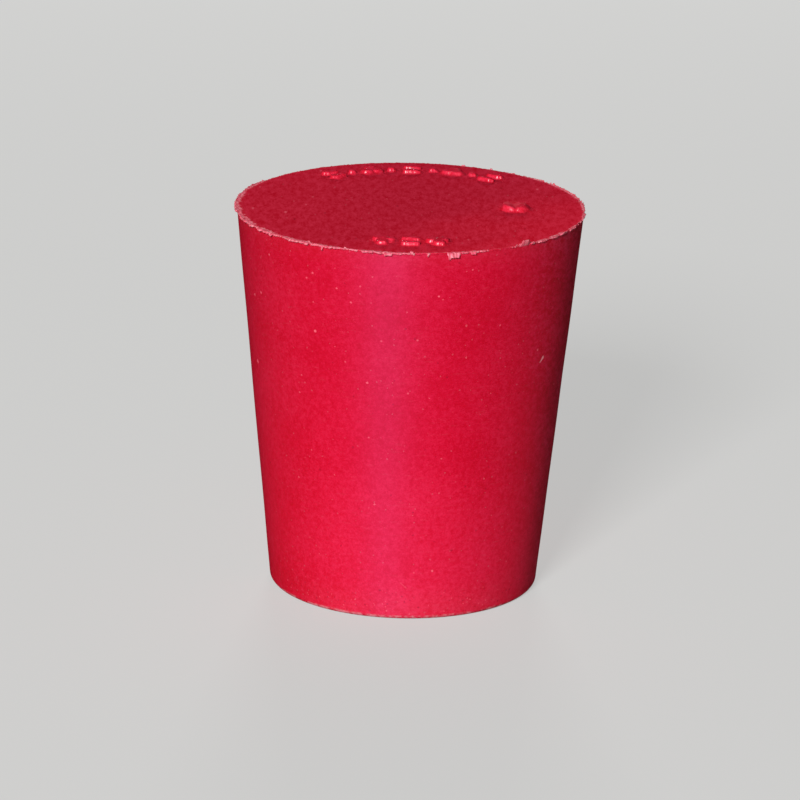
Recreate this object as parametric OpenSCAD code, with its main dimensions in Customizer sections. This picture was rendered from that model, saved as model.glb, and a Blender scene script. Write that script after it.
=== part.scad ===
// Solid stopper for a small laboratory vessel, moulded in one piece from soft red rubber.
// It is a plain tapered plug with no hole. The mould opened at the wide end, so a thin lip of
// flash stands out around that edge, and the cavity's marks stand up from the wide face.
// The origin is the centre of the narrow end face, and +Z runs up to the wide end.

/* [Plug] */
// Diameter of the wide end, to the corner between the tapered side and the wide face
top_d = 27; // [23:0.5:60]
// Diameter of the narrow end, to the corner that its edge radius rounds off
bottom_d = 21; // [12:0.5:26]
// Height from the narrow end face to the wide end face
height = 30.3; // [15:0.1:60]
// Radius of the rounded edge around the narrow end
base_edge_r = 0.45; // [0.1:0.05:3]

/* [Flash] */
// Width of the flash lip, outwards from the wide end's corner
flash_w = 0.2; // [0.05:0.05:1]
// Thickness of the flash lip, downwards from the wide face
flash_t = 0.15; // [0.05:0.05:1]

/* [Gauge pip] */
// Diameter of the round pip at its foot
pip_d = 2; // [1:0.1:4]
// Height of the round pip above the wide face
pip_h = 0.45; // [0.1:0.05:1]
// Draft of the pip's wall, as the amount that its radius shrinks to the top
pip_draft = 0.15; // [0:0.05:0.4]
// Distance of the pip's centre in from the wide end's corner
pip_inset = 5.5; // [3:0.1:9]
// Direction of the pip from the centre, in degrees from +X towards +Y
pip_angle = -3; // [-20:1:20]

/* [Cavity marks] */
// Height of every bar, lobe and dot above the wide face
mark_h = 0.3; // [0.1:0.05:0.8]
// Length of a bar, along the ring that the marks stand on
bar_l = 1.3; // [0.8:0.05:1.5]
// Width of a bar, across the ring
bar_w = 0.55; // [0.3:0.05:0.75]
// Distance between the middles of the two bars of a pair, across the ring
bar_pitch = 1.2; // [0.8:0.05:1.5]
// Distance of a trefoil's three lobes from its middle
trefoil_r = 0.45; // [0.2:0.01:0.5]
// Diameter of each lobe of a trefoil
lobe_d = 0.85; // [0.5:0.05:0.95]
// Diameter of the single dots between the marks of the long row
dot_d = 0.5; // [0.3:0.05:0.8]
// Distance of the middle of the marks in from the wide end's corner
mark_inset = 2.8; // [2:0.1:4.5]
// Number of marks and single dots in the long row at the back
row_count = 9; // [1:2:11]
// Distance between neighbours in the long row, along the ring
row_pitch = 1.65; // [1.5:0.05:2]
// Number of marks in the short row at the front
group_count = 3; // [1:1:5]
// Distance between neighbours in the short row, along the ring
group_pitch = 2.1; // [1.9:0.1:3]

/* [Hidden] */
$fn = 180;

top_r = top_d / 2;
bottom_r = bottom_d / 2;

// Angle of the tapered side from upright
taper = atan((top_r - bottom_r) / height);
// Distance from the narrow end's corner to where its edge radius starts
edge_run = base_edge_r / tan((90 + taper) / 2);
// Radius of the side where the underside of the flash lip meets it
lip_root_r = top_r - flash_t * tan(taper);

// Radius of the ring that the marks stand on
mark_ring_r = top_r - mark_inset;
// How far a raised detail reaches down into the plug, so that the two are one solid
root = 1;
// Shrinkage of the pip's radius for each millimetre upwards
pip_slope = pip_draft / pip_h;

// Half of the plug's section: straight lines, with a true arc at the narrow end's edge.
module section() {
    polygon([
        [0, 0],
        [bottom_r - edge_run, 0],
        [bottom_r - edge_run, base_edge_r],
        [bottom_r + edge_run * sin(taper), edge_run * cos(taper)],
        [lip_root_r, height - flash_t],
        [top_r + flash_w, height - flash_t],
        [top_r + flash_w, height],
        [0, height]
    ]);
    translate([bottom_r - edge_run, base_edge_r]) circle(r = base_edge_r);
}

// The turned body: narrow end down, wide end up, with the flash lip at the wide edge.
module plug() {
    rotate_extrude() section();
}

// Round pip with a flat top: one drafted cone, which goes on down into the plug.
module gauge_pip() {
    rotate([0, 0, pip_angle])
        translate([top_r - pip_inset, 0, height - root])
            cylinder(
                h = root + pip_h,
                r1 = pip_d / 2 + root * pip_slope,
                r2 = pip_d / 2 - pip_h * pip_slope
            );
}

// Upright post that stands up by the height of a mark.
module dot(diameter) {
    translate([0, 0, -root]) cylinder(h = root + mark_h, d = diameter);
}

// Bar with round ends, long along the ring.
module bar() {
    flat = bar_l - bar_w;
    translate([0, 0, -root]) linear_extrude(height = root + mark_h) {
        square([flat, bar_w], center = true);
        for (end = [-1, 1]) translate([end * flat / 2, 0]) circle(d = bar_w);
    }
}

// Two bars, one behind the other.
module bar_pair() {
    for (side = [-1, 1]) translate([0, side * bar_pitch / 2, 0]) bar();
}

// Three round lobes in a triangle that points outwards.
module trefoil() {
    for (turn = [90, 210, 330])
        rotate([0, 0, turn]) translate([trefoil_r, 0, 0]) dot(lobe_d);
}

// Puts its children on the ring, a number of pitches round from the direction given.
module on_ring(direction, steps, pitch) {
    turn = steps * pitch / mark_ring_r * 180 / PI;
    rotate([0, 0, direction - turn])
        translate([mark_ring_r, 0, height])
            rotate([0, 0, -90]) children();
}

// Long row at the back: bar pairs and trefoils in turn, with a single dot between each two.
module back_row() {
    for (i = [0 : row_count - 1]) {
        on_ring(90, i - (row_count - 1) / 2, row_pitch) {
            if (i % 2 == 1) dot(dot_d);
            else if (i % 4 == 0) bar_pair();
            else trefoil();
        }
    }
}

// Short row at the front: trefoils and bar pairs in turn.
module front_row() {
    for (i = [0 : group_count - 1]) {
        on_ring(-90, (group_count - 1) / 2 - i, group_pitch) {
            if (i % 2 == 1) bar_pair();
            else trefoil();
        }
    }
}

module stopper() {
    color("crimson") union() {
        plug();
        gauge_pip();
        back_row();
        front_row();
    }
}

stopper();
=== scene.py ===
# %% [markdown]
# # A red rubber stopper
# A laboratory stopper is a plain plug of soft rubber. It is pressed in one heated cavity that
# opens at the wide end, so the whole object is one moulding: a smooth tapered side, a flat narrow
# end, and a wide face that carries the cavity's raised marks. Rubber squeezes out where the mould
# halves meet. When that thin flash is torn away it leaves a ragged, pale lip around the wide edge.
#
# The CAD solid already has the right sizes, and this script keeps them. It measures the solid,
# turns a finer skin on the same section, drapes that skin over the marks, and tears the lip.

# %% Load the frame
import math

import bmesh
import bpy
from mathutils import Matrix, Quaternion, Vector, noise
from mathutils.bvhtree import BVHTree
from mathutils.kdtree import KDTree


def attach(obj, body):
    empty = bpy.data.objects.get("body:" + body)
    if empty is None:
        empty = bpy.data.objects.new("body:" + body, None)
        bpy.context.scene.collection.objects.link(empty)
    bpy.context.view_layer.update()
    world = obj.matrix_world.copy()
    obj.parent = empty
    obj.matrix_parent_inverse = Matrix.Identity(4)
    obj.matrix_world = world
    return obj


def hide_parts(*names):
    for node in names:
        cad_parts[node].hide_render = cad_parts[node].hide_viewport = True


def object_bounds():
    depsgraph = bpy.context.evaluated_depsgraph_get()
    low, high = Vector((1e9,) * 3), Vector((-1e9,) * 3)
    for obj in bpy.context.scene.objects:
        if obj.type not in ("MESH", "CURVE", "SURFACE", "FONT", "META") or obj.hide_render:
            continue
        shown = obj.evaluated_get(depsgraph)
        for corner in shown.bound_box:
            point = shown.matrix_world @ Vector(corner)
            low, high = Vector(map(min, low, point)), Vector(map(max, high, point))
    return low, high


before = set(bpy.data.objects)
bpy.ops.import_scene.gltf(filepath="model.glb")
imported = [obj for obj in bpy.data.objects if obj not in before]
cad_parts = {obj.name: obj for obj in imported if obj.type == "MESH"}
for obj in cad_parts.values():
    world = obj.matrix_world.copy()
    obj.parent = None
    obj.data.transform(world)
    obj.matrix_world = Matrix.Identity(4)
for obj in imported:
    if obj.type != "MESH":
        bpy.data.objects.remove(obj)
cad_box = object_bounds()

MM = 0.001
HAIR = 0.01 * MM  # heights closer than this are one level
SAME = 0.1 * HAIR  # points closer than this are one point
SEED = 21  # noise vectors change from run to run unless they are seeded
noise.seed_set(SEED)
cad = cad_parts["stopper"]
print("CAD box in mm:", [[round(c / MM, 2) for c in corner] for corner in cad_box])

# %% [markdown]
# ## Measuring the solid
# Every size comes from the CAD solid, so the skin can't drift away from it. The solid is turned,
# so each of its corners is told by two numbers: how far it is from the axis, and how high it is.
# The corners furthest out belong to the flash lip, and they give the height of the wide face.

# %% Measure the solid's section
EDGE_SEARCH = 2 * MM
LEAST_LIP = 10 * HAIR
corners = [(math.hypot(v.co.x, v.co.y), v.co.z) for v in cad.data.vertices]
lip_r = max(r for r, z in corners)
lip_heights = [z for r, z in corners if r > lip_r - HAIR]
face_z = max(lip_heights)
lip_z = min(lip_heights)
root_r = max(r for r, z in corners if abs(z - lip_z) < HAIR and r < lip_r - LEAST_LIP)
flat_r = max(r for r, z in corners if z < SAME)
edge_z, edge_r = max((z, r) for r, z in corners if z < EDGE_SEARCH)
top_z = cad_box[1].z
taper = math.atan((root_r - edge_r) / (lip_z - edge_z))
print("wide face at", round(face_z / MM, 2), "mm, lip from", round(root_r / MM, 2), "to",
      round(lip_r / MM, 2), "mm, lip underside at", round(lip_z / MM, 2), "mm")
print("narrow end flat to", round(flat_r / MM, 2), "mm, its edge ends at",
      round(edge_r / MM, 2), "mm out and", round(edge_z / MM, 2), "mm up, taper",
      round(math.degrees(taper), 2), "degrees")

# %% [markdown]
# ## The skin's section
# A turned skin starts as half of its outline, as a lathe worker would draw it, from the axis out
# along the narrow end, up the side and back to the axis along the wide face. The narrow end's
# edge is an arc. The side is a straight line, with its rows closer together just under the lip,
# so that the smooth shading of the side isn't bent by the torn edge above it. The lip is a small
# loop of points: along its underside, around its rim, and back along the wide face.

# %% Draw the section
EDGE_STEPS = 7
SIDE_STEPS = 24
# mm from the axis, on the narrow end
FOOT_ROWS = [0.0, 2.5, 5.0, 7.5, 9.2]
# mm below the lip
SHOULDER_ROWS = [0.55, 0.30, 0.15, 0.06, 0.0]
# share of the way out along the lip, and of the way up through it
LIP_ROWS = [(0.5, 0.0), (0.85, 0.04), (1.0, 0.25), (1.0, 0.75), (0.85, 0.96), (0.5, 1.0)]
# mm in from the lip's root, on the wide face
INNER_ROWS = [0.0, 0.06, 0.12, 0.18, 0.25, 0.33, 0.43, 0.55, 0.70]
# mm between rows of the wide face, and mm from the axis where they grow sparse
FACE_STEP = 0.34
CENTRE_ROWS = [5.6, 4.2, 2.8, 1.4, 0.0]


def side_r(height):
    """Radius of the tapered side at that height."""
    return edge_r + (height - edge_z) * math.tan(taper)


def edge_arc():
    """Points of the narrow end's rounded edge, from the flat end face round to the side."""
    radius = edge_z / (1 - math.sin(taper))
    turns = [(math.pi / 2 - taper) * i / EDGE_STEPS for i in range(EDGE_STEPS + 1)]
    return [(flat_r + radius * math.sin(t), radius * (1 - math.cos(t))) for t in turns]


shoulder_z = lip_z - SHOULDER_ROWS[0] * MM
side_heights = [edge_z + (shoulder_z - edge_z) * i / SIDE_STEPS for i in range(1, SIDE_STEPS)]
side_heights += [lip_z - below * MM for below in SHOULDER_ROWS]
rim_in = root_r - INNER_ROWS[-1] * MM
face_rows = round((rim_in / MM - CENTRE_ROWS[0]) / FACE_STEP)
face_radii = [
    rim_in + (CENTRE_ROWS[0] * MM - rim_in) * i / face_rows for i in range(1, face_rows)
] + [r * MM for r in CENTRE_ROWS]

section = [(r * MM, 0.0) for r in FOOT_ROWS]
section += edge_arc()
section += [(side_r(height), height) for height in side_heights]
section += [
    (root_r + out * (lip_r - root_r), lip_z + up * (face_z - lip_z)) for out, up in LIP_ROWS
]
section += [(root_r - inset * MM, face_z) for inset in INNER_ROWS]
section += [(r, face_z) for r in face_radii]
print("section of", len(section), "points")

# %% [markdown]
# ## Turning it
# Spin sweeps the section once around the axis and joins the last copy to the first. The first
# and last points of the section lie on the axis, so all their copies fall on one spot, and
# merging them closes a pole in the middle of each end face.

# %% Spin the section
AROUND = 240

bm = bmesh.new()
torn = bm.verts.layers.float.new("torn")
proud = bm.verts.layers.float.new("proud")
points = [bm.verts.new((r, 0, z)) for r, z in section]
lines = [bm.edges.new(pair) for pair in zip(points, points[1:])]
bmesh.ops.spin(
    bm, geom=points + lines, cent=(0, 0, 0), axis=(0, 0, 1), dvec=(0, 0, 0),
    angle=2 * math.pi, steps=AROUND, use_merge=True,
)
bmesh.ops.remove_doubles(bm, verts=bm.verts, dist=SAME)
bmesh.ops.recalc_face_normals(bm, faces=bm.faces)
print("turned skin:", len(bm.faces), "faces, closed:", all(e.is_manifold for e in bm.edges))

# %% [markdown]
# ## A finer net where there is detail
# Torn flash needs points every few hundredths of a millimetre, and so do the walls of the small
# marks. The rest of the plug is smooth and needs far fewer. Subdividing only the edges that run
# around the lip, and only the faces near a raised mark, puts the points where they are needed.

# %% Refine the lip and the surroundings of the marks
LIP_CUTS = 8
MARK_CUTS = 8
MARK_REACH = 0.34 * MM
MARK_STEP = 0.2 * MM
FACES_UP = 0.99
CAST_ABOVE = 1 * MM
DOWN = Vector((0, 0, -1))
NUDGE = Vector((HAIR, 0.7 * HAIR, 0))


def far_out(v):
    """How far a point of the net is from the axis."""
    return math.hypot(v.co.x, v.co.y)


def in_rim(v):
    """Whether a point is on the lip, just under it, or on the strip of wide face inside it."""
    return v.co.z > shoulder_z - HAIR and far_out(v) > rim_in - HAIR


def runs_around(edge):
    """Whether an edge runs level around the axis."""
    first, last = edge.verts
    level = abs(first.co.z - last.co.z) < SAME
    return level and abs(far_out(first) - far_out(last)) < SAME


rim_edges = [e for e in bm.edges if runs_around(e) and all(in_rim(v) for v in e.verts)]
bmesh.ops.subdivide_edges(bm, edges=rim_edges, cuts=LIP_CUTS)


def points_along(edge):
    """Points of a CAD edge that stands above the wide face, close enough not to miss a mark."""
    first, last = (cad.data.vertices[i].co for i in edge.vertices)
    if min(first.z, last.z) < face_z + HAIR:
        return []
    steps = max(1, round((last - first).length / MARK_STEP))
    return [first.lerp(last, i / steps) for i in range(steps + 1)]


def touch(place):
    """Height of the CAD solid under a place; a ray that slips between two faces is cast again."""
    place = Vector((place.x, place.y, top_z + CAST_ABOVE))
    hit = solid.ray_cast(place, DOWN)[0]
    while hit.z < face_z - HAIR:
        place = place + NUDGE
        hit = solid.ray_cast(place, DOWN)[0]
    return hit.z


solid = BVHTree.FromObject(cad, bpy.context.evaluated_depsgraph_get())
raised = [point for edge in cad.data.edges for point in points_along(edge)]
raised_tree = KDTree(len(raised))
for i, point in enumerate(raised):
    raised_tree.insert(point, i)
raised_tree.balance()
pip_top = [p for p in raised if p.z > top_z - HAIR]
pip = sum(pip_top, Vector()) / len(pip_top)
pip_r = max((p - pip).length for p in pip_top)
mark_z = max(p.z for p in raised if p.z < top_z - HAIR)


def near_a_mark(point):
    """Whether a point of the wide face is under a mark of the CAD solid, or close to its edge."""
    return touch(point) > face_z + HAIR or raised_tree.find(point)[2] < MARK_REACH


marked = {
    f for f in bm.faces
    if f.normal.z > FACES_UP and far_out(f.verts[0]) < rim_in
    and near_a_mark(f.calc_center_median())
}
marked_edges = [e for e in bm.edges if any(f in marked for f in e.link_faces)]
bmesh.ops.subdivide_edges(bm, edges=marked_edges, cuts=MARK_CUTS, use_grid_fill=True)
print(len(rim_edges), "edges cut around the lip,", len(marked), "faces cut near marks,",
      len(bm.faces), "faces now")

# %% [markdown]
# ## Raised marks and the round pip
# The cavity's marks could be modelled one by one and joined on, but then each would meet the
# face in a knife-sharp corner. Moulded rubber has no such corners. Here the net is draped over
# the CAD solid instead. Each point takes the mean height that two small rings of feelers touch,
# which softens the corners, and it feels a little to one side by a gentle noise, as old hand-cut
# marks are never quite even. The rings are wider on the pip, whose wall is rounder. The punch that
# cut the marks in the mould was drawn out a little aslant, so one end of each falls off in a short
# slope: a row of feelers that trails behind each point gives it.

# %% Drape the wide face over the marks
WARP_WAVES = 1.1 / MM
WARP = 0.06 * MM
FEELERS = 8
INNER_RING = 0.5
MARK_FEEL = 0.06 * MM
PIP_FEEL = 0.09 * MM
TRAIL = 0.42 * MM
TRAIL_STEPS = 6
SOFTEN = 0.1
turns = [2 * math.pi * i / FEELERS for i in range(FEELERS)]
ring = [Vector((math.cos(t), math.sin(t), 0)) for t in turns]
feelers = [Vector()] + [INNER_RING * spoke for spoke in ring] + ring
trail = [Vector((-TRAIL * i / TRAIL_STEPS, 0, 0)) for i in range(TRAIL_STEPS + 1)]


def on_pip(point):
    """Whether a point of the wide face is on the pip, or close to its foot."""
    return math.hypot(point.x - pip.x, point.y - pip.y) < pip_r + MARK_REACH


def mean_height(places):
    """Mean height of the CAD solid under some places."""
    return sum(touch(place) for place in places) / len(places)


def height_below(point):
    """Height of the draped skin at a point of the wide face."""
    reach = PIP_FEEL if on_pip(point) else MARK_FEEL
    aside = noise.noise_vector(point * WARP_WAVES) * WARP
    felt = mean_height([point + aside + reach * feeler for feeler in feelers])
    trailed = mean_height([point + aside + step for step in trail])
    return max(felt, trailed)


wide_face = [v for v in bm.verts if v.co.z > face_z - HAIR and far_out(v) < rim_in - HAIR]
draped = [v for v in wide_face if near_a_mark(v.co)]
for v in draped:
    v.co.z = height_below(v.co)
bmesh.ops.smooth_vert(bm, verts=draped, factor=SOFTEN, use_axis_z=True)
print(len(draped), "points draped; pip", round(2 * pip_r / MM, 2), "mm across its top")

# %% [markdown]
# Years of being pressed and wiped have rounded the raised details into low domes that are
# steepest at the foot. They are worn unevenly: their tops dip here and there, and the pip is worn
# down in the middle of its front edge. How far up its own mark each point stands is kept as an
# attribute, because the walls of a mark stay cleaner than the face.

# %% Wear the raised details
# powers of the height: the smaller, the steeper the foot and the flatter the crown
MARK_DOME = 0.75
PIP_DOME = 0.6
LUMP_WAVES = 0.9 / MM
LUMP_SHARE = 0.40
# depth of the pip's dip and groove as shares of its height, then, in radii of the pip, the half
# width of each and where it starts and is full on the way to the front
DIP, DIP_HALF, DIP_RUN = 0.24, 0.6, (-0.6, 0.3)
GROOVE, GROOVE_HALF, GROOVE_RUN = 0.26, 0.2, (0.5, 1.1)
GROOVE_ASIDE = 0.05


def ramp(low, high, value):
    """0 below low, 1 above high, and a smooth rise between."""
    share = min(1.0, max(0.0, (value - low) / (high - low)))
    return share * share * (3 - 2 * share)


def pip_wear(point):
    """Share of the pip's height that is worn away there."""
    across = (point.x - pip.x) / pip_r
    forward = (pip.y - point.y) / pip_r
    dip = DIP * (1 - ramp(0.0, DIP_HALF, abs(across)))
    groove = GROOVE * (1 - ramp(0.0, GROOVE_HALF, abs(across - GROOVE_ASIDE)))
    return dip * ramp(*DIP_RUN, forward) + groove * ramp(*GROOVE_RUN, forward)


for v in draped:
    full = (top_z if on_pip(v.co) else mark_z) - face_z
    v[proud] = max(0.0, v.co.z - face_z) / full
    lumps = LUMP_SHARE * max(0.0, noise.noise(v.co * LUMP_WAVES))
    worn = pip_wear(v.co) if on_pip(v.co) else lumps
    dome = PIP_DOME if on_pip(v.co) else MARK_DOME
    v.co.z = face_z + full * v[proud] ** dome * (1 - worn)
print("highest point", round(max(v.co.z for v in draped) / MM, 2), "mm")

# %% [markdown]
# ## Torn flash
# The lip is what is left of the flash. It stands out by up to a third of a millimetre on one
# side, and it was trimmed nearly flush on the other and at the back. It didn't tear in a smooth
# line: it broke away in beads and crumbs of a tenth or two of a millimetre, thin between them.
# Where the rubber was thick it tore in bits, and a short list gives those bits their places: a
# flap that hangs down, tags and a ribbon that stand up, and stretches where hardly any is left.

# %% List the torn bits
# angle in degrees, half length, extra reach, droop (minus is up) and extra run-in, all in mm
BITS = [
    (-75.9, 0.46, 0.12, 0.34, 0.10),
    (-77.3, 0.14, 0.03, 0.16, 0.00),
    (-69.2, 0.24, 0.12, 0.14, 0.18),
    (-84.2, 0.10, 0.08, 0.16, 0.00),
    (-80.5, 0.80, -0.14, 0.00, -0.20),
    (-86.5, 0.45, -0.14, 0.00, -0.20),
    (-89.4, 0.14, 0.06, -0.20, 0.20),
    (-96.7, 0.26, 0.10, 0.12, 0.10),
    (-101.2, 0.55, 0.08, -0.03, 0.14),
    (-104.8, 0.16, 0.08, 0.06, 0.10),
    (-106.2, 0.12, -0.08, 0.00, -0.12),
    (-111, 0.08, 0.04, -0.14, 0.08),
    (-115, 0.50, 0.06, 0.00, 0.08),
    (-119, 0.08, 0.06, 0.28, 0.00),
    (-123.8, 0.12, 0.06, -0.30, 0.08),
    (-128.5, 1.10, 0.09, 0.05, 0.12),
    (-136.5, 0.60, -0.05, 0.00, -0.10),
    (-141, 0.20, 0.06, 0.10, 0.04),
    (-144, 0.95, 0.09, 0.04, 0.16),
    (-150, 0.30, -0.04, 0.00, -0.12),
    (-153.5, 0.24, 0.06, 0.06, 0.08),
    (-158, 1.50, 0.05, 0.00, 0.18),
    (-172, 1.80, 0.03, -0.02, 0.22),
    (172, 1.80, 0.02, -0.05, 0.24),
    (157, 1.50, 0.02, -0.08, 0.14),
    (-60, 1.00, -0.10, 0.00, -0.20),
    (-50.5, 0.72, 0.06, -0.20, 0.10),
    (-49.8, 0.40, 0.02, -0.20, 0.04),
    (-46, 0.30, 0.08, -0.10, 0.16),
    (-42, 0.60, 0.08, 0.00, 0.14),
    (-36, 0.70, 0.08, -0.03, 0.16),
    (-31, 0.34, 0.14, -0.12, 0.22),
    (-22, 0.90, 0.07, -0.03, 0.12),
    (-6, 0.80, 0.04, 0.02, 0.10),
    (4, 1.40, 0.03, -0.06, 0.16),
    (24, 2.80, 0.03, -0.14, 0.22),
    (43, 1.20, 0.03, -0.10, 0.16),
    (54, 0.50, 0.02, -0.08, 0.14),
    (62, 0.14, 0.03, -0.14, 0.10),
    (72, 0.12, 0.03, -0.14, 0.10),
    (112, 0.60, 0.04, 0.06, 0.06),
    (149, 0.12, 0.05, -0.06, 0.06),
]
print(len(BITS), "torn bits, from", 2 * min(bit[1] for bit in BITS), "to",
      2 * max(bit[1] for bit in BITS), "mm long")

# %% [markdown]
# Between the bits, the lip follows a rule. Noise is read along a circle, so that it closes on
# itself, and a bigger circle gives more waves in a full turn. Each kind of unevenness reads its
# own layer of the noise, and adds a little to one or more of the lip's four sizes: how far it
# reaches out, how thick it is, how far it droops, and how far its torn top runs in over the face.

# %% Describe the lip all the way round
PROUD_SIDE = math.radians(180)
# how many in a full turn, and the layer of noise
BEADS = (520, 1.3)
LUMPS = (190, 5.1)
FLAKES = (330, 9.4)
SWELLS = (30, 2.6)
SAGS = (120, 7.7)
FRAYS = (500, 31.7)
# shares of beads and lumps in a bead, and where the noise starts to make one
BEAD_PART, LUMP_PART, BEAD_EDGE = 0.7, 0.6, (-0.25, 0.3)
# how much of the beads the trimming at the back took off, and where, as the angle's sine
TRIMMED, BACK = 0.7, (0.3, 0.8)
FLAKE_WANDER = 0.8
END_FRAY, BIT_END = 0.5, (0.8, 1.0)
# in mm: what is always there, and what the proud side, beads, flakes, swells and sags change
REACH, SIDE_REACH, BEAD_REACH, FLAKE_REACH, SWELL_REACH = 0.03, 0.10, 0.09, 0.04, 0.04
THICK, SIDE_THICK, BEAD_THICK = 0.06, 0.04, 0.07
DROOP, BEAD_LIFT, SAG_DROOP = 0.04, 0.05, 0.08
BEAD_RUN_IN, SIDE_RUN_IN, FLAKE_RUN_IN = 0.03, 0.14, 0.03
LEAST_REACH, LEAST_THICK = 0.01, 0.03


def ripple(angle, waves, layer):
    """Smooth noise around the rim, from about -1 to 1, with that many waves in a full turn."""
    reach = waves / (2 * math.pi)
    return noise.noise(Vector((reach * math.cos(angle), reach * math.sin(angle), layer)))


def flake(angle, count, layer):
    """Share from 0 to 1 that belongs to the flake at that angle; a full turn holds that many."""
    place = angle / (2 * math.pi) * count + FLAKE_WANDER * ripple(angle, 2 * count, layer)
    return 0.5 + 0.5 * noise.cell(Vector((math.floor(place) % count + 0.5, layer, 0.5)))


def bits_at(angle):
    """What the torn bits add at that angle: reach, droop and run-in, in millimetres."""
    total = [0.0, 0.0, 0.0]
    for degrees, half_length, *amounts in BITS:
        turn = (angle - math.radians(degrees) + math.pi) % (2 * math.pi) - math.pi
        off = abs(turn) * root_r / MM / half_length
        share = 1 - ramp(*BIT_END, off * (1 + END_FRAY * ripple(angle, *FRAYS)))
        total = [t + share * a for t, a in zip(total, amounts)]
    return total


def lip_at(angle):
    """Reach, thickness, droop and run-in of the lip at that angle, in millimetres."""
    side = 0.5 + 0.5 * math.cos(angle - PROUD_SIDE)
    mixed = BEAD_PART * ripple(angle, *BEADS) + LUMP_PART * ripple(angle, *LUMPS)
    bead = ramp(*BEAD_EDGE, mixed) * (1 - TRIMMED * ramp(*BACK, math.sin(angle)))
    loss = flake(angle, *FLAKES)
    reach = REACH + SIDE_REACH * side + BEAD_REACH * bead - FLAKE_REACH * loss
    reach += SWELL_REACH * ripple(angle, *SWELLS)
    thick = THICK + SIDE_THICK * side + BEAD_THICK * bead
    droop = SAG_DROOP * ripple(angle, *SAGS) - BEAD_LIFT * bead + DROOP
    run_in = (BEAD_RUN_IN + SIDE_RUN_IN * side) * bead + FLAKE_RUN_IN * (loss - 0.5)
    more_reach, more_droop, more_run_in = bits_at(angle)
    return (
        max(LEAST_REACH, reach + more_reach),
        max(LEAST_THICK, thick),
        droop + more_droop,
        max(0.0, run_in + more_run_in),
    )


samples = [lip_at(math.radians(d / 2)) for d in range(-360, 360)]
print("lip reach from", round(min(s[0] for s in samples), 2), "to",
      round(max(s[0] for s in samples), 2), "mm")

# %% [markdown]
# Each point of the lip knows two shares from where it was turned: how far out it is, and how far
# up from the underside. Those shares carry it to its place on the torn lip. The same pass paints
# how torn each point is, as an attribute, because torn rubber is paler than moulded rubber. The
# paint starts nearer the tear on the underside, which is the mould's own skin, but a bit that
# stands up was stretched until it paled all over. The paint is patchy.

# %% Tear the lip
FRAY = 0.02 * MM
FRAY_WAVES = 9.0 / MM
ROUGH = 0.06 * MM
PATCH_WAVES = 5.0 / MM
# where the paint starts, as a share of the way out: on the mould's skin, and elsewhere
SKIN_START = 0.6
TOP_START = 0.3
PAINT_SPREAD = 0.25
# mm: droop of a bit that stands up, reach that is left bare and reach that is painted, and how
# softly the torn top ends on the face
STANDING = -0.12
BARE_REACH, FULL_REACH = 0.01, 0.07
RUN_IN_END = 0.02
PATCH_EDGE = (-0.2, 0.2)


def tear(v):
    """Moves one point of the rim to its place on the torn lip, and paints it."""
    angle = math.atan2(v.co.y, v.co.x)
    if v.co.z < lip_z + HAIR and far_out(v) < root_r + HAIR:
        radius = side_r(v.co.z)
        v.co = Vector((radius * math.cos(angle), radius * math.sin(angle), v.co.z))
        return
    reach, thick, droop, run_in = lip_at(angle)
    out = (far_out(v) - root_r) / (lip_r - root_r)
    up = (v.co.z - lip_z) / (face_z - lip_z)
    rough = noise.noise(v.co * FRAY_WAVES)
    patch = 0.5 + 0.5 * ramp(*PATCH_EDGE, noise.noise(v.co * PATCH_WAVES))
    if out < 0:
        inset = -out * (lip_r - root_r) / MM
        share = 1 - ramp(0.5 * run_in, run_in + RUN_IN_END, inset)
        v.co.z += share * rough * ROUGH
        v[torn] = share * patch
        return
    radius = root_r + out * reach * MM
    height = face_z - (1 - up) * thick * MM - droop * out * out * MM
    fray = noise.noise_vector(v.co * FRAY_WAVES) * FRAY * out
    v.co = Vector((radius * math.cos(angle), radius * math.sin(angle), height)) + fray
    start = SKIN_START if up < 0.5 and droop > STANDING else TOP_START
    paint_share = ramp(start, start + PAINT_SPREAD, out) * ramp(BARE_REACH, FULL_REACH, reach)
    v[torn] = paint_share * patch


rim = [v for v in bm.verts if in_rim(v)]
for v in rim:
    tear(v)
print(len(rim), "points torn")

# %% [markdown]
# ## Uneven, as soft rubber is
# A true cone with a true flat end looks machined. Rubber shrinks a little unevenly as it cools,
# so the whole skin gets slow waves of a few hundredths of a millimetre at most, and the wide face
# a slight crown. The flat narrow end stays flat, because the stopper stands on it.

# %% Warp the whole skin
SLOW_WAVES = 0.16 / MM
SLOW_WARP = 0.035 * MM
WARP_FROM, WARP_FULL = 0.5 * MM, 4 * MM
CROWN = 0.12 * MM
CROWN_DEPTH = 0.2 * MM
for v in bm.verts:
    share = ramp(WARP_FROM, WARP_FULL, v.co.z)
    v.co += noise.noise_vector(v.co * SLOW_WAVES) * SLOW_WARP * share
    if v.co.z > face_z - CROWN_DEPTH:
        v.co.z += CROWN * (1 - min(1, (far_out(v) / root_r) ** 2))
print("slow waves of up to", round(SLOW_WARP / MM, 3), "mm and a crown of", CROWN / MM, "mm")

# %% [markdown]
# ## From net to piece
# The net becomes a mesh with smooth shading, and rides on the part's one body in place of the
# CAD solid.

# %% Make the moulding
SIDE, END = 0, 1


def finish_of(face):
    """Which finish a face takes: the side's, with the lip, or that of the two flat ends."""
    middle = face.calc_center_median()
    radius = math.hypot(middle.x, middle.y)
    on_wide_end = middle.z > lip_z and radius < root_r
    on_narrow_end = middle.z < HAIR and radius < flat_r
    return END if on_wide_end or on_narrow_end else SIDE


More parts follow.
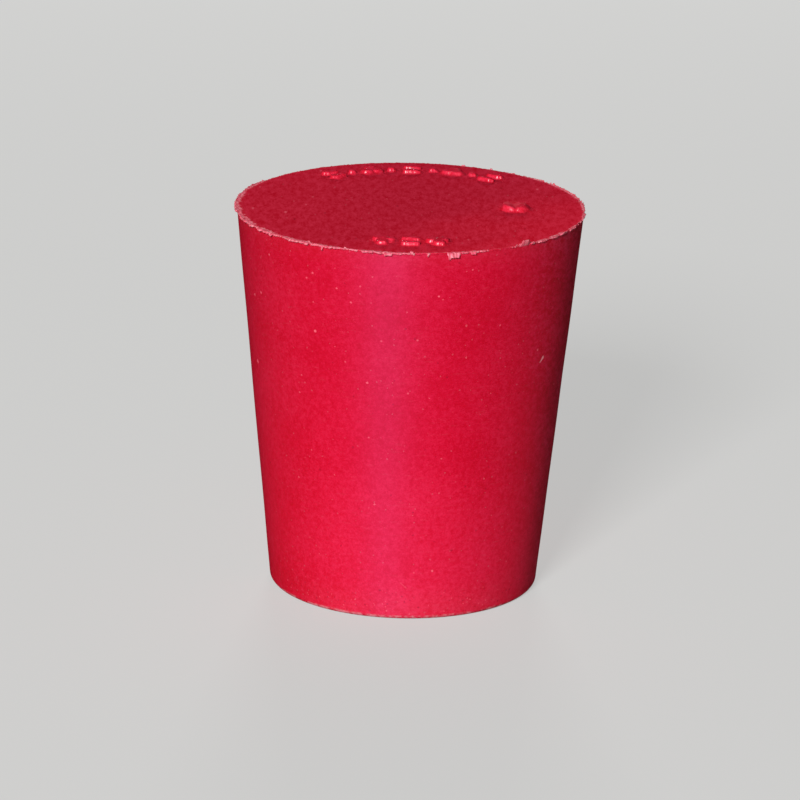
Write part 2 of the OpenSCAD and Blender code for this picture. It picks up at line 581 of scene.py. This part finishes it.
bmesh.ops.recalc_face_normals(bm, faces=bm.faces)
for face in bm.faces:
    face.material_index = finish_of(face)
print("closed:", all(e.is_manifold for e in bm.edges),
      "volume", round(bm.calc_volume(signed=True) / MM ** 3, 1), "mm3")
mesh = bpy.data.meshes.new("moulding")
bm.to_mesh(mesh)
bm.free()
mesh.shade_smooth()
moulding = bpy.data.objects.new("moulding", mesh)
bpy.context.scene.collection.objects.link(moulding)
mesh.calc_loop_triangles()
print("moulding:", len(mesh.vertices), "points,", len(mesh.loop_triangles), "triangles")
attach(moulding, "root")
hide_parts("stopper")

# %% [markdown]
# ## Writing shader maths
# A material here is mostly arithmetic on masks: where the dust is, where the tear is, where a
# speck is. Wiring Math nodes by hand hides that arithmetic, so one small class wraps a socket, and
# each operator adds the node that does it. A second one holds the tree, and adds every node that
# isn't plain arithmetic through one method.

# %% Classes for shader maths
class Wire:
    """An output socket that can be used in Python expressions."""

    def __init__(self, paint, socket):
        self.paint = paint
        self.socket = socket

    def _maths(self, operation, first, second):
        return self.paint.add("ShaderNodeMath", {"operation": operation}, {0: first, 1: second})

    def __add__(self, other):
        return self._maths("ADD", self, other)

    def __radd__(self, other):
        return self._maths("ADD", other, self)

    def __sub__(self, other):
        return self._maths("SUBTRACT", self, other)

    def __rsub__(self, other):
        return self._maths("SUBTRACT", other, self)

    def __mul__(self, other):
        return self._maths("MULTIPLY", self, other)

    def __rmul__(self, other):
        return self._maths("MULTIPLY", other, self)


class Paint:
    """A material, or the world, whose nodes are added one call at a time."""

    def __init__(self, owner):
        owner.use_nodes = True
        self.tree = owner.node_tree
        self.tree.nodes.clear()

    def add(self, kind, settings=None, values=None, output=0):
        """Adds a node: its settings first, then its inputs' values or links; gives one output."""
        node = self.tree.nodes.new(kind)
        for name, setting in (settings or {}).items():
            setattr(node, name, setting)
        for name, value in (values or {}).items():
            if isinstance(value, Wire):
                self.tree.links.new(value.socket, node.inputs[name])
            else:
                node.inputs[name].default_value = value
        return Wire(self, node.outputs[output]) if node.outputs else None

    def noise(self, place, scale, detail=2.0, roughness=0.5):
        """Smooth noise with that many waves in a millimetre, from 0 to 1."""
        return self.add("ShaderNodeTexNoise", None,
                        {"Vector": place, "Scale": scale, "Detail": detail, "Roughness": roughness})

    def step(self, value, low, high):
        """0 where value is below low, 1 above high, with a smooth rise between."""
        return self.add("ShaderNodeMapRange", {"interpolation_type": "SMOOTHSTEP"},
                        {"Value": value, "From Min": low, "From Max": high})

    def mix(self, share, first, second):
        """Colour that goes from first to second as share goes from 0 to 1."""
        return self.add("ShaderNodeMix", {"data_type": "RGBA"},
                        {0: share, 6: first, 7: second}, output=2)

    def part(self, vector, letter):
        """One part of a vector: X, Y or Z."""
        return self.add("ShaderNodeSeparateXYZ", None, {"Vector": vector}, letter)

    def multiplied(self, share, colour, factor):
        """Colour with each of its parts multiplied by the factor's, as much as share says."""
        return self.add("ShaderNodeMix", {"data_type": "RGBA", "blend_type": "MULTIPLY"},
                        {0: share, 6: colour, 7: factor}, output=2)

    def scaled(self, vector, by):
        """Vector with each of its parts multiplied."""
        return self.add("ShaderNodeVectorMath", {"operation": "MULTIPLY"}, {0: vector, 1: by})

    def stray(self, place, scale, reach):
        """Place moved about by smooth noise, so that a round mask turns lumpy."""
        wander = self.add("ShaderNodeTexNoise", None, {"Vector": place, "Scale": scale}, "Color")
        centred = self.add("ShaderNodeVectorMath", {"operation": "SUBTRACT"},
                           {0: wander, 1: (0.5, 0.5, 0.5)})
        return self.add("ShaderNodeVectorMath", {"operation": "ADD"},
                        {0: place, 1: self.scaled(centred, (2 * reach,) * 3)})

    def attribute(self, name):
        """What the net keeps at each of its points under that name."""
        return self.add("ShaderNodeAttribute", {"attribute_name": name}, None, "Fac")


print("paint can add:", [name for name in vars(Paint) if not name.startswith("_")])

# %% [markdown]
# ## Specks and crumbs
# Old rubber carries small pale specks: bloom that has come out of the rubber, dust, and crumbs
# of torn flash. The crumbs that catch the eye are put in their places one by one, each with its
# size and how pale it is. So are a fibre and a short scratch, which are rows of dots. On the wide
# face the crumbs are smears, because it was wiped. There, the places of crumbs are drawn in along
# one direction, and so is the place where the paint looks for them, so that they come out long.

# %% Place the crumbs
# angle in degrees, height and radius in mm, and how pale, from 0 to 1
CRUMBS_ON_SIDE = [
    (-159.5, 18.8, 0.16, 1.0),
    (-156.5, 24.4, 0.10, 1.0),
    (-151, 24.9, 0.10, 1.0),
    (-143.5, 28.4, 0.09, 0.8),
    (-130.5, 19.3, 0.07, 0.6),
    (-126, 27.4, 0.07, 0.6),
    (-123.5, 27.9, 0.09, 0.8),
    (-123.5, 23.2, 0.11, 1.0),
    (-114.5, 27.0, 0.08, 0.8),
    (-112, 21.1, 0.07, 0.6),
    (-109.5, 26.0, 0.08, 0.7),
    (-104, 19.6, 0.09, 0.9),
    (-101.5, 9.6, 0.08, 0.7),
    (-85.5, 4.0, 0.06, 0.7),
    (-89.5, 18.9, 0.07, 0.7),
    (-80, 26.8, 0.08, 0.9),
    (-78, 4.1, 0.09, 0.9),
    (-76.5, 13.5, 0.07, 0.6),
    (-71, 28.7, 0.05, 0.6),
    (-70, 24.3, 0.09, 0.5),
    (-69, 28.8, 0.06, 0.9),
    (-58.5, 18.5, 0.06, 0.6),
    (-37.5, 21.2, 0.09, 0.8),
    (-21, 17.5, 0.09, 0.9),
]
# angle in degrees, distance from the axis and radius in mm, and how pale, from 0 to 1
CRUMBS_ON_FACE = [
    (-172.5, 12.3, 0.10, 0.6),
    (-164.5, 10.0, 0.12, 0.8),
    (-86.5, 10.4, 0.10, 0.8),
    (-65, 10.5, 0.09, 0.5),
    (-1, 6.3, 0.09, 0.4),
    (10.5, 9.1, 0.08, 0.4),
    (31, 11.6, 0.10, 0.6),
    (165, 7.9, 0.11, 0.5),
    (176, 9.1, 0.09, 0.5),
]
# both ends as angle, height and radius, and how pale: a fibre and a scratch
FIBRES = [
    ((-33.6, 20.40, 0.125), (-35.2, 20.04, 0.04), 0.8),
    ((-91.0, 3.15, 0.03), (-88.5, 2.70, 0.04), 0.25),
]
FIBRE_DOTS = 7
WIPE_STRETCH = (1.0, 0.35, 1.0)


def on_side(degrees, height):
    """Point of the side in millimetres, from its angle and its height in millimetres."""
    angle = math.radians(degrees)
    radius = side_r(height * MM) / MM
    return Vector((radius * math.cos(angle), radius * math.sin(angle), height))


def on_face(degrees, radius):
    """Point of the wide face in millimetres, drawn in along the direction of wiping."""
    angle = math.radians(degrees)
    point = Vector((radius * math.cos(angle), radius * math.sin(angle), face_z / MM))
    return Vector([part * share for part, share in zip(point, WIPE_STRETCH)])


shares = [i / (FIBRE_DOTS - 1) for i in range(FIBRE_DOTS)]
side_spots = [(on_side(degrees, height), *rest) for degrees, height, *rest in CRUMBS_ON_SIDE]
face_spots = [(on_face(degrees, radius), *rest) for degrees, radius, *rest in CRUMBS_ON_FACE]
fibre_spots = [
    (on_side(a + s * (a_end - a), h + s * (h_end - h)), r + s * (r_end - r), paleness)
    for (a, h, r), (a_end, h_end, r_end), paleness in FIBRES for s in shares
]
print(len(side_spots), "crumbs on the side,", len(face_spots), "on the wide face and",
      len(fibre_spots), "dots in", len(FIBRES), "rows")

# %% [markdown]
# A mask tells how much of a colour shows at each place. For a placed crumb it falls off with the
# distance from its middle. A field of random specks comes from a Voronoi texture, whose cells
# each draw a lot: some stay empty, and the others get one speck. Each kind has its own spacing,
# or the kinds would share their cells and sit on top of each other.

# %% Masks of crumbs and specks
# shares of the radius: where a crumb starts to fade and where it is gone, from its middle
CRUMB_EDGE = (0.5, 1.4)
# the same for a random speck, from its rim, and the size of the smallest
SPECK_EDGE = (-0.25, 0.15)
LEAST_SPECK = 0.4
LOT_EDGE = 0.01


def crumbs(paint, place, spots):
    """Mask of the crumbs that are placed by hand."""
    total = 0.0
    for middle, radius, paleness in spots:
        distance = paint.add("ShaderNodeVectorMath", {"operation": "DISTANCE"},
                             {0: place, 1: middle}, "Value")
        outside = paint.step(distance, *[part * radius for part in CRUMB_EDGE])
        total = total + paleness * (1 - outside)
    return total


def specks(paint, place, spacing, radius, share):
    """Mask of random specks: that share of the Voronoi cells, of that spacing, holds one."""
    cell = {"Vector": place, "Scale": 1 / spacing, "Randomness": 1.0}
    distance = paint.add("ShaderNodeTexVoronoi", None, cell, "Distance")
    colour = paint.add("ShaderNodeTexVoronoi", None, cell, "Color")
    lot = paint.add("ShaderNodeSeparateColor", None, {"Color": colour}, "Red")
    size = paint.add("ShaderNodeSeparateColor", None, {"Color": colour}, "Green")
    edge = (size * (1 - LEAST_SPECK) + LEAST_SPECK) * (radius / spacing)
    outside = paint.step(distance - edge, *[part * radius / spacing for part in SPECK_EDGE])
    return (1 - outside) * paint.step(lot, 1 - share, 1 - share + LOT_EDGE)


def speckled(paint, place, colour, kinds, where=1.0):
    """Colour with each kind of random speck laid on it, as strongly as where says."""
    for *measures, strength, shade in kinds:
        mask = specks(paint, place, *measures) * where
        colour = paint.mix(mask * strength, colour, shade)
    return colour


print("a random speck is", LEAST_SPECK, "to 1.0 times as wide as its kind says")

# %% [markdown]
# ## Red rubber
# Soft red rubber is a dense pigment in a dull binder, and nearly even in colour. What lies on it
# is paler: powder, crumbs and torn rubber. All its colours are written here in one place, so
# that they can be compared. Those of the grain aren't colours but factors: each part of the
# colour below is multiplied by them, and more than 1 makes it brighter.

# %% Name the colours
RED = (0.675, 0.0014, 0.0245, 1)
# painted bounce light: the side's red low down is brighter, as if lit from the floor
PAINTED_BOUNCE_RED = (0.76, 0.0016, 0.0265, 1)
# painted sheen: a brighter, pinker red low down in front
PAINTED_SHEEN_RED = (0.84, 0.0110, 0.052, 1)
# dust and painted sheen: the ends' red is greyer than the side's
DUST_AND_SHEEN_RED = (0.67, 0.0135, 0.039, 1)
# painted light: the brighter red of a patch in front on the wide face
PAINTED_LIGHT_RED = (0.83, 0.0155, 0.043, 1)
GRAIN_DARK = (0.88, 0.40, 0.45, 1)
GRAIN_PALE = (1.11, 1.60, 1.58, 1)
END_GRAIN_DARK = (0.86, 0.30, 0.45, 1)
END_GRAIN_PALE = (1.13, 1.75, 1.58, 1)
SHADE_DARK = (0.84, 0.25, 0.35, 1)
SHADE_PALE = (1.12, 2.20, 2.00, 1)
TORN_PINK = (0.95, 0.17, 0.24, 1)
TORN_PALE = (0.98, 0.30, 0.345, 1)
POWDER = (0.90, 0.42, 0.45, 1)
FAINT_POWDER = (0.72, 0.10, 0.14, 1)
CRUMB_PINK = (1.0, 0.13, 0.19, 1)
GRIME = (0.16, 0.004, 0.008, 1)
# walls of the marks: clean of dust, and painted lighter as if lit
CLEAN_PAINTED_LIGHT_RED = (0.84, 0.016, 0.050, 1)
SHEEN_TINT = (0.13, 0.31, 0.95, 1)
print("the side goes from", PAINTED_BOUNCE_RED[:3], "low down to", RED[:3], "under the lip")

# %% [markdown]
# ## The side
# The side has a faint cloudiness, and a grain at every scale down to the eye's limit. Its red is
# painted brighter low down, as painted bounce light from the floor, and low down in front it is
# painted brighter and pinker still, as a painted sheen, partly in a pale powder colour. Powder
# clings to the shelter of the lip and to the traces of the mould's tool rings. On its right, out
# of the way of the hands, a thin film of dust is left. Masks in millimetres say where each of these
# is.

# %% Colour the side
# noise: waves in a mm, detail and roughness; then where its mask starts and where it is full
RINGS, RING_STRETCH = (1.0, 3.0, 0.6), (0.3, 0.3, 5.0)
DASHES, DASH_STRETCH = (1.0, 2.0), (0.9, 0.9, 6.0)
SIDE_GRAIN = (2.6, 4.0, 0.98)
CLOUDS, CLOUD_SHARE = (0.15, 3.0, 0.6), 0.25
FILM = (2.2, 4.0, 0.95)
RING_EDGE, RING_POWDER = (0.60, 0.75), 0.05
DASH_EDGE, DASH_POWDER = (0.60, 0.74), 0.08
GRAIN_EDGE, GRAIN_BARE, GRAIN_POWDER = (0.33, 0.67), 0.35, 0.14
FILM_EDGE, FILM_BARE, FILM_POWDER = (0.38, 0.62), 0.5, 0.16
# mm up the side, towards the front or to the right: where a mask starts and where it is full
# painted bounce light: the heights over which the brighter red low down fades to the red under the
# lip
PAINTED_BOUNCE_HEIGHT = (2.0, 28.0)
# painted sheen low down in front: its heights, its reach towards the front and its share
PAINTED_SHEEN_HEIGHT, PAINTED_SHEEN_FRONT, PAINTED_SHEEN_SHARE = (0.5, 15.0), (7.0, 10.5), 0.8
SHELTER_HEIGHT, SHELTER_POWDER = (lip_z / MM - 1.6, lip_z / MM), 0.05
# in front of the foot, a pale powder colour laid on as more painted sheen
FOOT_HEIGHT, FOOT_FRONT, PAINTED_FOOT_SHEEN = (0.4, 3.5), (5.0, 10.0), 0.10
DUSTY_RIGHT = (8.0, 12.0)


def side_red(paint, place, height, rings):
    """The side's colour: brighter low down as painted bounce light, and pinker low in front as
    painted sheen, with traces of the tool rings.
    """
    front = paint.part(place, "Y") * -1
    # painted sheen: brighter and pinker low down in front
    painted_sheen = (1 - paint.step(height, *PAINTED_SHEEN_HEIGHT)) * paint.step(front, *PAINTED_SHEEN_FRONT)
    # painted bounce light: the red is brighter low down
    colour = paint.mix(paint.step(height, *PAINTED_BOUNCE_HEIGHT), PAINTED_BOUNCE_RED, RED)
    colour = paint.mix(painted_sheen * PAINTED_SHEEN_SHARE, colour, PAINTED_SHEEN_RED)
    dashes = paint.noise(paint.scaled(place, DASH_STRETCH), *DASHES)
    traces = paint.step(rings, *RING_EDGE) * RING_POWDER
    traces = traces + paint.step(dashes, *DASH_EDGE) * DASH_POWDER
    sheltered = paint.step(height, *SHELTER_HEIGHT) * SHELTER_POWDER
    # in front of the foot, more painted sheen in a pale powder colour
    low = (1 - paint.step(height, *FOOT_HEIGHT)) * paint.step(front, *FOOT_FRONT)
    return paint.mix(traces + sheltered + low * PAINTED_FOOT_SHEEN, colour, FAINT_POWDER)


def side_grain(paint, place, colour):
    """Colour with the grain of the side, and with the mottle of its dusty part."""
    grain = paint.noise(place, *SIDE_GRAIN)
    clouds = paint.noise(place, *CLOUDS)
    tone = paint.step(CLOUD_SHARE * clouds + (1 - CLOUD_SHARE) * grain, *GRAIN_EDGE)
    colour = paint.multiplied(1.0, colour, paint.mix(tone, GRAIN_DARK, GRAIN_PALE))
    dusty = paint.step(paint.part(place, "X"), *DUSTY_RIGHT)
    film = paint.step(paint.noise(paint.scaled(place, WIPE_STRETCH), *FILM), *FILM_EDGE)
    colour = paint.multiplied(dusty, colour, paint.mix(film, SHADE_DARK, SHADE_PALE))
    powder = (tone - GRAIN_BARE) * GRAIN_POWDER + (film - FILM_BARE) * dusty * FILM_POWDER
    return paint.mix(powder, colour, FAINT_POWDER)


print("scuffed up to", PAINTED_SHEEN_HEIGHT[1], "mm, dusty from", DUSTY_RIGHT[0], "mm right of the axis")

# %% [markdown]
# ## The two ends
# The ends are duller and greyer than the side. They are dusty, and part of their grey is a painted
# sheen. A patch of painted light makes the wide face brighter in front on the pip's side, and it is
# a little lighter on the far left. The walls of the raised marks are rubbed clean of dust, and
# painted lighter as if lit.

# %% Colour the ends
# waves in a mm and detail, then mm of unevenness of the painted light patch's edge
PAINTED_LIGHT_EDGE, PAINTED_LIGHT_UNEVEN = (0.25, 1.0), 8
PAINTED_LIGHT_EAST, PAINTED_LIGHT_NORTH = 0.8, -0.6
PAINTED_LIGHT_RUN = (1.0, 13.0)
LEFT_LIGHTER_RUN, LEFT_LIGHTER = (-10.0, 1.0), 0.35
END_GRAIN = (2.3, 4.0, 0.98)
END_POWDER = 0.06
# shares of a mark's height: where its wall gets clean and painted lighter, and where its crown gets
# dusty again
WALL, CLEANED_AND_PAINTED_LIGHT = (0.08, 0.35), 0.9
CROWN_START, CROWN_DUST = (0.88, 0.99), 0.7


def end_red(paint, place):
    """The colour of the two ends, dust and painted sheen, with painted light in front and a lighter
    far left.
    """
    east = paint.part(place, "X")
    # painted light: a brighter patch in front on the pip's side; the far left is made a little
    # lighter too
    along = PAINTED_LIGHT_EAST * east + PAINTED_LIGHT_NORTH * paint.part(place, "Y")
    uneven = (paint.noise(place, *PAINTED_LIGHT_EDGE) - 0.5) * PAINTED_LIGHT_UNEVEN
    painted_light = paint.step(along + uneven, *PAINTED_LIGHT_RUN)
    left = 1 - paint.step(east, *LEFT_LIGHTER_RUN)
    colour = paint.mix(painted_light + LEFT_LIGHTER * left, DUST_AND_SHEEN_RED, PAINTED_LIGHT_RED)
    raised = paint.attribute("proud")
    clean_and_painted_light = paint.step(raised, *WALL) * (1 - CROWN_DUST * paint.step(raised, *CROWN_START))
    # the walls of the marks: clean of dust and painted lighter
    return paint.mix(clean_and_painted_light * CLEANED_AND_PAINTED_LIGHT, colour, CLEAN_PAINTED_LIGHT_RED)


def end_grain(paint, place, colour):
    """Colour with the grain of the dusty ends, drawn out a little by wiping."""
    grain = paint.noise(paint.scaled(place, WIPE_STRETCH), *END_GRAIN)
    tone = paint.step(grain, *GRAIN_EDGE)
    colour = paint.multiplied(1.0, colour, paint.mix(tone, END_GRAIN_DARK, END_GRAIN_PALE))
    return paint.mix(tone * END_POWDER, colour, FAINT_POWDER)


print("grain drawn out", round(1 / WIPE_STRETCH[1], 1), "times by wiping")

# %% [markdown]
# ## What lies on the rubber
# Over its own colour, the rubber carries faint powder, pink crumbs and grime at random. The foot
# has more of them, from standing on the bench, and its rounded edge is rubbed pale. The crowns
# of the marks keep a little powder. Torn rubber is pink, and paler in patches. Most specks are
# looked up through a little noise, so that they aren't true round dots.

# %% Lay on specks, wear and the torn colour
# spacing and radius in mm, share of the cells that hold one, strength and colour
SPECKS = [
    (0.45, 0.075, 0.42, 0.50, FAINT_POWDER),
    (0.90, 0.09, 0.26, 0.50, CRUMB_PINK),
    (0.80, 0.10, 0.36, 0.30, GRIME),
]
FOOT_CRUMBS = [(0.30, 0.07, 0.35, 0.60, CRUMB_PINK)]
FOOT_GRIME = [(0.34, 0.09, 0.55, 0.30, GRIME)]
# waves in a mm, and mm that a speck's outline strays
LUMPY = (8.0, 0.06)
GRIMY_HEIGHT = (0.8, 3.5)
RUBBED_HEIGHT, RUBBED_POWDER = (0.24, 0.42), 0.60
RUBBED_PATCHES, RUBBED_EDGE = (1.6, 4.0, 0.8), (0.42, 0.62)
CROWN_TOP, CROWN_POWDER = (0.85, 0.99), 0.08
CROWN_PATCHES, CROWN_EDGE = (1.5,), (0.4, 0.6)
TORN_PATCHES, TORN_EDGE = (4.0, 3.0), (0.42, 0.60)


def worn_crowns(paint, place, colour):
    """Colour with powder on the crowns of the raised marks."""
    patches = paint.step(paint.noise(place, *CROWN_PATCHES), *CROWN_EDGE)
    crowns = paint.step(paint.attribute("proud"), *CROWN_TOP) * patches
    return paint.mix(crowns * CROWN_POWDER, colour, POWDER)


def worn_foot(paint, place, lumpy, height, colour):
    """Colour with the fibres, and with the crumbs, grime and rubbed edge of the foot."""
    colour = paint.mix(crumbs(paint, place, fibre_spots), colour, TORN_PALE)
    low = 1 - paint.step(height, *GRIMY_HEIGHT)
    colour = speckled(paint, lumpy, colour, FOOT_CRUMBS, low)
    colour = speckled(paint, place, colour, FOOT_GRIME, low)
    patches = paint.step(paint.noise(place, *RUBBED_PATCHES), *RUBBED_EDGE)
    rubbed = (1 - paint.step(height, *RUBBED_HEIGHT)) * patches
    return paint.mix(rubbed * RUBBED_POWDER, colour, POWDER)


def rubber_colour(paint, place, height, rings, spots, on_end):
    """Colour of the rubber, from the plain red up to the crumbs that lie on it."""
    lumpy = paint.stray(place, *LUMPY)
    if on_end:
        lumpy = paint.scaled(lumpy, WIPE_STRETCH)
        colour = end_grain(paint, place, end_red(paint, place))
    else:
        colour = side_grain(paint, place, side_red(paint, place, height, rings))
    colour = speckled(paint, lumpy, colour, SPECKS)
    colour = paint.mix(crumbs(paint, lumpy, spots), colour, CRUMB_PINK)
    if on_end:
        colour = worn_crowns(paint, place, colour)
    else:
        colour = worn_foot(paint, place, lumpy, height, colour)
    patches = paint.step(paint.noise(place, *TORN_PATCHES), *TORN_EDGE)
    torn_colour = paint.mix(patches, TORN_PINK, TORN_PALE)
    return paint.mix(paint.attribute("torn"), colour, torn_colour)


print(len(SPECKS), "kinds of speck all over, and",
      len(FOOT_CRUMBS) + len(FOOT_GRIME), "more on the foot")

# %% [markdown]
# ## The sheen
# The mould was turned on a lathe, and its faint tool rings, copied all round the side, stretch
# the sheen into a tall band: that is anisotropy, turned upright. The ends weren't turned, and
# their dust leaves them hardly any gloss. The rubbed walls of the raised marks shine a little
# through a thin clear coat.

# %% Mix the rubber
FINE_GRAIN = (9.0, 2.0, 0.6)
SHINE_START, SHINE_END = (0.04, 0.15), (0.80, 0.97)
BUMP = 0.6
BUMP_HEIGHT = 0.01 * MM
GRAIN_BUMP, RING_BUMP = 0.5, 0.6
GRAIN_DULLS, TORN_DULLS, SHINE_SMOOTHS = 0.05, 0.10, 0.16
UPRIGHT = 0.25
COAT, COAT_DULLNESS = 0.85, 0.28


def red_rubber(name, dullness, gloss, turned, spots, on_end):
    """The rubber: dullness is its roughness, gloss how much it mirrors at all, and turned is how
    much tool rings stretch its sheen."""
    material = bpy.data.materials.new(name)
    paint = Paint(material)
    spot = paint.add("ShaderNodeTexCoord", None, None, "Object")
    place = paint.scaled(spot, (1 / MM,) * 3)
    height = paint.part(place, "Z")
    raised = paint.attribute("proud")
    grain = paint.noise(place, *FINE_GRAIN)
    rings = paint.noise(paint.scaled(place, RING_STRETCH), *RINGS)
    shine = paint.step(raised, *SHINE_START) * (1 - paint.step(raised, *SHINE_END))
    torn_dulls = TORN_DULLS * paint.attribute("torn")

    normal = paint.add("ShaderNodeBump", None, {
        "Strength": BUMP, "Distance": BUMP_HEIGHT,
        "Height": GRAIN_BUMP * grain + RING_BUMP * turned * rings,
    })
    shader = paint.add("ShaderNodeBsdfPrincipled", None, {
        "Base Color": rubber_colour(paint, place, height, rings, spots, on_end),
        "Roughness": dullness + GRAIN_DULLS * grain + torn_dulls - SHINE_SMOOTHS * shine,
        "Normal": normal,
        "Specular IOR Level": gloss,
        "Specular Tint": SHEEN_TINT,
        "Anisotropic": turned,
        "Anisotropic Rotation": UPRIGHT,
        "Coat Weight": shine * COAT,
        "Coat Roughness": COAT_DULLNESS,
    })
    paint.add("ShaderNodeOutputMaterial", None, {"Surface": shader})
    return material


moulding.data.materials.append(red_rubber(
    "red_rubber_side", dullness=0.50, gloss=0.5, turned=0.7, spots=side_spots, on_end=False
))
moulding.data.materials.append(red_rubber(
    "red_rubber_end", dullness=0.66, gloss=0.2, turned=0.0, spots=face_spots, on_end=True
))
for material in moulding.data.materials:
    print(material.name, "mixed from", len(material.node_tree.nodes), "nodes")

# %% [markdown]
# ## Floor and room
# The stopper stands on a plain pale floor in a plain pale room. Both look pale to the camera,
# but they give back less light than that, so the red isn't washed out. The room is as bright as
# the far end of the floor, so no line shows where they meet.

# %% Lay the floor
FLOOR_HALF = 1.5
PALE = (0.80, 0.80, 0.79, 1)
FLOOR_GREY = (0.52, 0.52, 0.51, 1)
FLOOR_MIRRORED = (0.004, 0.004, 0.004, 1)
FLOOR_SEEN = 0.6


def plain_floor():
    """Floor that looks pale to the camera, and gives back a plain grey light to all else."""
    material = bpy.data.materials.new("plain_floor")
    paint = Paint(material)
    mirrored = paint.add("ShaderNodeLightPath", None, None, "Is Glossy Ray")
    matt = paint.add("ShaderNodeBsdfDiffuse", None, {
        "Color": paint.mix(mirrored, FLOOR_GREY, FLOOR_MIRRORED)
    })
    glow = paint.add("ShaderNodeEmission", None, {"Color": PALE})
    seen = paint.add("ShaderNodeLightPath", None, None, "Is Camera Ray")
    shown = paint.add("ShaderNodeMixShader", None, {0: seen * FLOOR_SEEN, 1: matt, 2: glow})
    paint.add("ShaderNodeOutputMaterial", None, {"Surface": shown})
    return material


floor_bm = bmesh.new()
bmesh.ops.create_grid(floor_bm, x_segments=1, y_segments=1, size=FLOOR_HALF)
bmesh.ops.translate(floor_bm, verts=floor_bm.verts, vec=(0, 0, -HAIR))
floor_mesh = bpy.data.meshes.new("floor")
floor_bm.to_mesh(floor_mesh)
floor_bm.free()
floor_mesh.materials.append(plain_floor())
floor = bpy.data.objects.new("floor", floor_mesh)
bpy.context.scene.collection.objects.link(floor)
print("floor", 2 * FLOOR_HALF, "m wide")

# %% Fill the room with light
ROOM_LIGHT = 0.01
MIRRORED_LIGHT = 0.001
ROOM_SEEN = 0.61
world = bpy.data.worlds.new("room")
paint = Paint(world)
seen = paint.add("ShaderNodeLightPath", None, None, "Is Camera Ray")
mirrored = paint.add("ShaderNodeLightPath", None, None, "Is Glossy Ray")
strength = ROOM_LIGHT + (MIRRORED_LIGHT - ROOM_LIGHT) * mirrored
dim = paint.add("ShaderNodeBackground", None, {"Color": (1, 1, 1, 1), "Strength": strength})
pale = paint.add("ShaderNodeBackground", None, {"Color": PALE, "Strength": ROOM_SEEN})
both = paint.add("ShaderNodeMixShader", None, {0: seen, 1: dim, 2: pale})
paint.add("ShaderNodeOutputWorld", None, {"Surface": both})
bpy.context.scene.world = world
print("room gives", ROOM_LIGHT, "of full light and looks", ROOM_SEEN, "bright")

# %% [markdown]
# ## Lamps
# One soft lamp stands in front, a little to the left and somewhat above, so the side is bright,
# the right edge falls off into shade, and the wide face, which the lamp only grazes, stays
# duller than the side. A second one lights the back, so that the stopper can be looked at from
# all round. It is kept out of reflections, because it would grey the wide face.

# %% Light the stopper
middle = Vector((0, 0, face_z / 2))


def lamp(name, azimuth, elevation, distance, size, power):
    """Square soft lamp that faces the stopper; azimuth 0 is the camera's side, + to the right."""
    turn = math.radians(azimuth)
    rise = math.radians(elevation)
    away = Vector((
        math.sin(turn) * math.cos(rise), -math.cos(turn) * math.cos(rise), math.sin(rise)
    ))
    data = bpy.data.lights.new(name, "AREA")
    data.size = size
    data.energy = power
    holder = bpy.data.objects.new(name, data)
    holder.matrix_world = (
        Matrix.Translation(middle + away * distance)
        @ away.to_track_quat("Z", "Y").to_matrix().to_4x4()
    )
    bpy.context.scene.collection.objects.link(holder)
    return holder


key = lamp("key", azimuth=-15, elevation=26, distance=1.0, size=0.233, power=10.7)
back = lamp("back", azimuth=180, elevation=16, distance=0.6, size=0.14, power=2.0)
back.visible_glossy = False
for lit in (key, back):
    print(lit.name, "lamp of", round(lit.data.energy, 1), "W,", round(lit.data.size / MM),
          "mm square")

# %% [markdown]
# ## Camera
# The camera looks from the front and a little above, through a long lens. It stands a touch
# crooked and aims a hair beside the middle, as a camera held over a bench does.

# %% Place the camera
CAMERA_DISTANCE = 0.4072
CAMERA_RISE = math.radians(17.07)
CAMERA_ROLL = math.radians(1.216)
LENS = 233.4
FILM_WIDTH = 36.0
NEAREST = 0.01
AIM_LEFT = 0.505 * MM
AIM_DOWN = 0.56 * MM

eye = middle + CAMERA_DISTANCE * Vector((0, -math.cos(CAMERA_RISE), math.sin(CAMERA_RISE)))
level = (middle - eye).to_track_quat("-Z", "Y")
aim = middle + level @ Vector((-AIM_LEFT, -AIM_DOWN, 0))
turned = (aim - eye).to_track_quat("-Z", "Y") @ Quaternion((0, 0, 1), CAMERA_ROLL)
camera_data = bpy.data.cameras.new("camera")
camera_data.lens = LENS
camera_data.sensor_width = FILM_WIDTH
camera_data.clip_start = NEAREST
camera = bpy.data.objects.new("camera", camera_data)
camera.matrix_world = Matrix.Translation(eye) @ turned.to_matrix().to_4x4()
bpy.context.scene.collection.objects.link(camera)
bpy.context.scene.camera = camera
bpy.context.scene.view_settings.view_transform = "Standard"
print("camera", round((eye - middle).length, 3), "m away")
